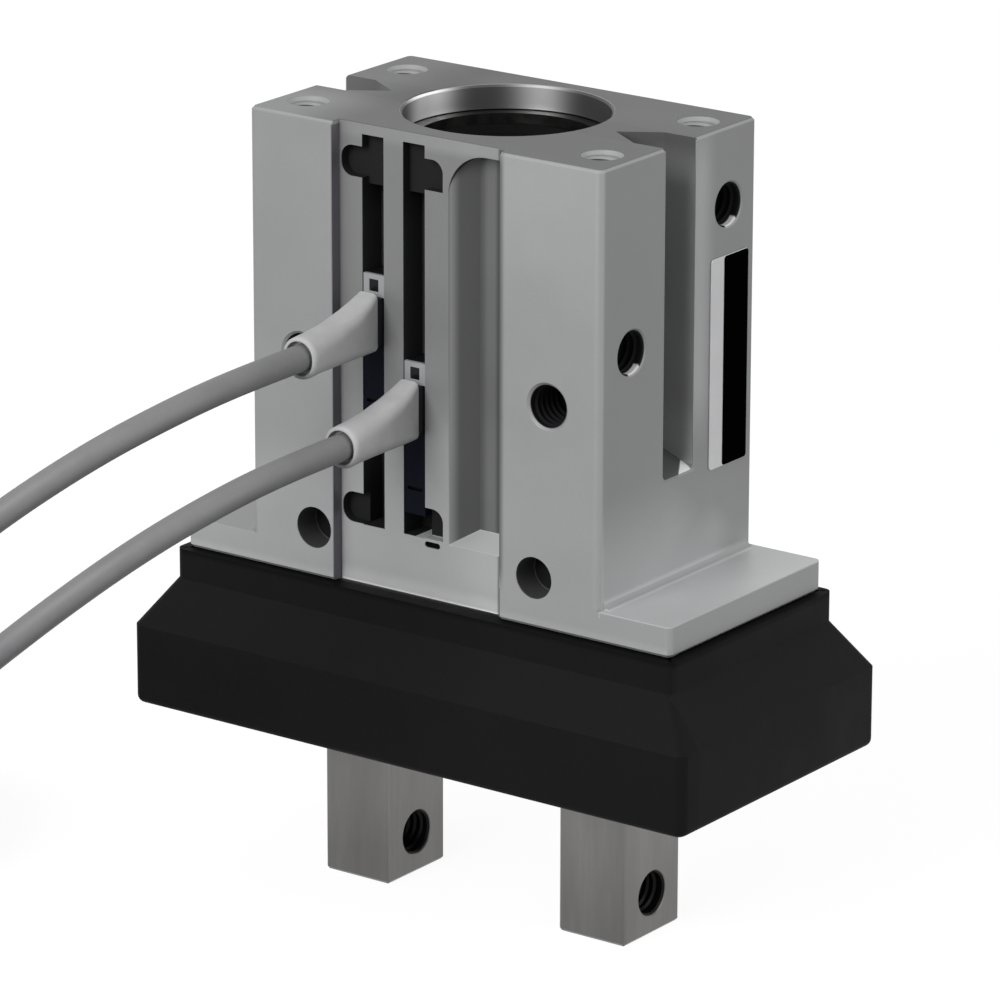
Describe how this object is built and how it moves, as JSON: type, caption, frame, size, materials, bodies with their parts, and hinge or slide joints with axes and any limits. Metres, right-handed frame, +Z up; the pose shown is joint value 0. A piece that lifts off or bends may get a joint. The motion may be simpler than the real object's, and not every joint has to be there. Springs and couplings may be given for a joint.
{
  "type": "linear slide gripper",
  "caption": "Compact air-driven gripper with two parallel sliding fingers below a milled block, a rubber dust skirt round the slide, and two position switches in front grooves.",
  "frame": {"origin": "centre of the foot of the box round the gripper without its leads, level with the fingertips", "axes": "+Z up from the fingertips to the mounting face, X along the way the fingers slide, -Y out of the switch side"},
  "size_m": [0.1167, 0.0799, 0.081],
  "materials": {
    "anodised_aluminium": "matt grey hard anodised",
    "black_anodised": "black anodised",
    "finger_steel": "ground stainless steel",
    "guide_steel": "ground and hardened",
    "ball_steel": "polished bearing steel",
    "rod_steel": "ground and plated",
    "spring_steel": "dark phosphated",
    "screw_steel": "bright zinc",
    "cover_rubber": "matt black moulded rubber",
    "seal_rubber": "black seal rubber",
    "bush_bronze": "sintered bronze",
    "magnet_ferrite": "bonded magnet",
    "switch_body": "dark blue-black moulding",
    "switch_head": "pale grey moulding",
    "switch_window": "glossy dark window",
    "boot_plastic": "pale grey moulding",
    "lead_jacket": "grey lead jacket",
    "label_film": "label film"
  },
  "bodies": {
    "body": {"body": "anodised_aluminium", "end_cap": "black_anodised", "cap_seal": "seal_rubber", "retaining_ring": "spring_steel", "rod_guide": "bush_bronze", "rod_seal": "seal_rubber", "bumper_upper": "seal_rubber", "bumper_lower": "seal_rubber", "lever_pins": "rod_steel", "guide_channel": "guide_steel", "guide_screws": "screw_steel", "end_plate_left": "guide_steel", "end_plate_right": "guide_steel", "end_plate_screws": "screw_steel", "dust_cover": "cover_rubber", "switch_upper": "switch_body", "switch_lower": "switch_body", "switch_head_upper": "switch_head", "switch_head_lower": "switch_head", "switch_window_upper": "switch_window", "switch_window_lower": "switch_window", "clamp_screws": "screw_steel", "boot_upper": "boot_plastic", "boot_lower": "boot_plastic", "lead_upper": "lead_jacket", "lead_lower": "lead_jacket", "lead_coil_upper": "lead_jacket", "lead_coil_lower": "lead_jacket", "label_plate": "label_film"},
    "rod": {"piston_rod": "rod_steel", "piston": "black_anodised", "piston_seal": "seal_rubber", "piston_magnet": "magnet_ferrite", "piston_nut": "screw_steel"},
    "finger_right": {"finger_right": "finger_steel"},
    "finger_left": {"finger_left": "finger_steel"},
    "lever_right": {"lever_right": "guide_steel"},
    "lever_left": {"lever_left": "guide_steel"},
    "balls_right": {"guide_balls_right": "ball_steel"},
    "balls_left": {"guide_balls_left": "ball_steel"}
  },
  "joints": [
    {"name": "finger_right_slide", "type": "slide", "parent": "body", "child": "finger_right", "axis": [1, 0, 0], "range_m": [0, 0.005], "deforming": ["dust_cover"]},
    {"name": "finger_left_slide", "type": "slide", "parent": "body", "child": "finger_left", "axis": [-1, 0, 0], "range_m": [0, 0.005], "deforming": ["dust_cover"]},
    {"name": "rod_slide", "type": "slide", "parent": "body", "child": "rod", "axis": [0, 0, -1], "range_m": [0, 0.00462]},
    {"name": "lever_right_pivot", "type": "hinge", "parent": "body", "child": "lever_right", "pos_m": [0.0133, 0.0008, 0.0395], "axis": [0, -1, 0], "range_deg": [0, 32.26]},
    {"name": "lever_left_pivot", "type": "hinge", "parent": "body", "child": "lever_left", "pos_m": [-0.0133, 0.0008, 0.0395], "axis": [0, 1, 0], "range_deg": [0, 32.26]},
    {"name": "balls_right_roll", "type": "slide", "parent": "body", "child": "balls_right", "axis": [1, 0, 0], "range_m": [0, 0.0025]},
    {"name": "balls_left_roll", "type": "slide", "parent": "body", "child": "balls_left", "axis": [-1, 0, 0], "range_m": [0, 0.0025]}
  ],
  "couplings": [
    {"joint": "finger_left_slide", "follows": "finger_right_slide", "ratio": 1},
    {"joint": "rod_slide", "follows": "finger_right_slide", "ratio": 0.92222},
    {"joint": "lever_right_pivot", "follows": "finger_right_slide", "rad_per_m": 112.59},
    {"joint": "lever_left_pivot", "follows": "finger_right_slide", "rad_per_m": 112.59},
    {"joint": "balls_right_roll", "follows": "finger_right_slide", "ratio": 0.5},
    {"joint": "balls_left_roll", "follows": "finger_right_slide", "ratio": 0.5}
  ]
}
